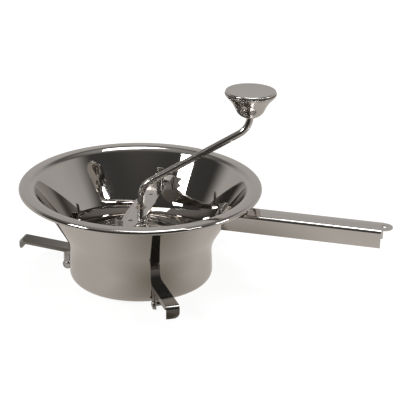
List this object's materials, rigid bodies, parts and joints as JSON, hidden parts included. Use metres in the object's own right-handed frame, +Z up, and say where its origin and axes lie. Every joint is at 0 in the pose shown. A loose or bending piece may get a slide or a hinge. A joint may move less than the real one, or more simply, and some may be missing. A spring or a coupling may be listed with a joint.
{
  "type": "rotary food mill",
  "caption": "Hand-cranked rotary food mill: flared polished steel bowl with a sieve, channel handle, folding pot legs, and a sprung bridge bar that holds the crank and blade down.",
  "frame": {"origin": "middle of the footprint on the table plane under the legs' eyes; the bowl's axis is at x = -0.0615 m", "axes": "+X along the handle, away from the bowl; +Y along the bridge bar; +Z up"},
  "size_m": [0.382, 0.244, 0.1987],
  "materials": {
    "polished_steel": "mirror-polished stainless steel with fine wear scratches",
    "satin_steel": "satin stainless steel",
    "plated_steel": "bright plated steel",
    "bearing_bronze": "dull bronze"
  },
  "bodies": {
    "root": {"bowl": "polished_steel", "handle": "polished_steel", "sieve_disc": "satin_steel", "sieve_bush": "satin_steel", "leg_bracket_1": "satin_steel", "leg_bracket_2": "satin_steel", "leg_bracket_3": "satin_steel", "leg_pin_1": "plated_steel", "leg_pin_2": "plated_steel", "leg_pin_3": "plated_steel", "bridge_lug_1": "satin_steel", "bridge_lug_2": "satin_steel"},
    "bridge": {"bridge_bar": "polished_steel", "bridge_bush": "bearing_bronze"},
    "carriage": {"spring_seat": "plated_steel", "pressure_spring": "plated_steel"},
    "crank": {"crank_rod": "polished_steel", "cross_pin": "plated_steel", "blade_hub": "satin_steel", "hub_pin": "plated_steel", "auger_wing": "polished_steel", "scraper_wing": "polished_steel", "knob_retainer": "plated_steel"},
    "knob": {"knob_shell": "polished_steel", "knob_cap": "polished_steel", "knob_bush": "bearing_bronze"},
    "leg_1": {"leg_1": "polished_steel"},
    "leg_2": {"leg_2": "polished_steel"},
    "leg_3": {"leg_3": "polished_steel"}
  },
  "joints": [
    {"name": "bridge_unlock", "type": "hinge", "parent": "root", "child": "bridge", "pos_m": [-0.0615, 0, 0.0749], "axis": [0, 0, 1], "range_deg": [0, 18]},
    {"name": "blade_lift", "type": "slide", "parent": "bridge", "child": "carriage", "axis": [0, 0, 1], "range_m": [0, 0.004], "stiffness_N_per_m": 1500, "springref_m": -0.01, "deforming": ["pressure_spring"]},
    {"name": "crank_turn", "type": "hinge", "parent": "carriage", "child": "crank", "pos_m": [-0.0615, 0, 0.04], "axis": [0, 0, 1], "continuous": true},
    {"name": "knob_spin", "type": "hinge", "parent": "crank", "child": "knob", "pos_m": [0.04109, 0.03039, 0.185], "axis": [0, 0, 1], "continuous": true},
    {"name": "leg_fold_1", "type": "hinge", "parent": "root", "child": "leg_1", "pos_m": [-0.1389, 0, 0.005], "axis": [0, -1, 0], "range_deg": [0, 90]},
    {"name": "leg_fold_2", "type": "hinge", "parent": "root", "child": "leg_2", "pos_m": [-0.0228, -0.06703, 0.005], "axis": [0.866, 0.5, 0], "range_deg": [0, 90]},
    {"name": "leg_fold_3", "type": "hinge", "parent": "root", "child": "leg_3", "pos_m": [-0.0228, 0.06703, 0.005], "axis": [-0.866, 0.5, 0], "range_deg": [0, 90]}
  ]
}
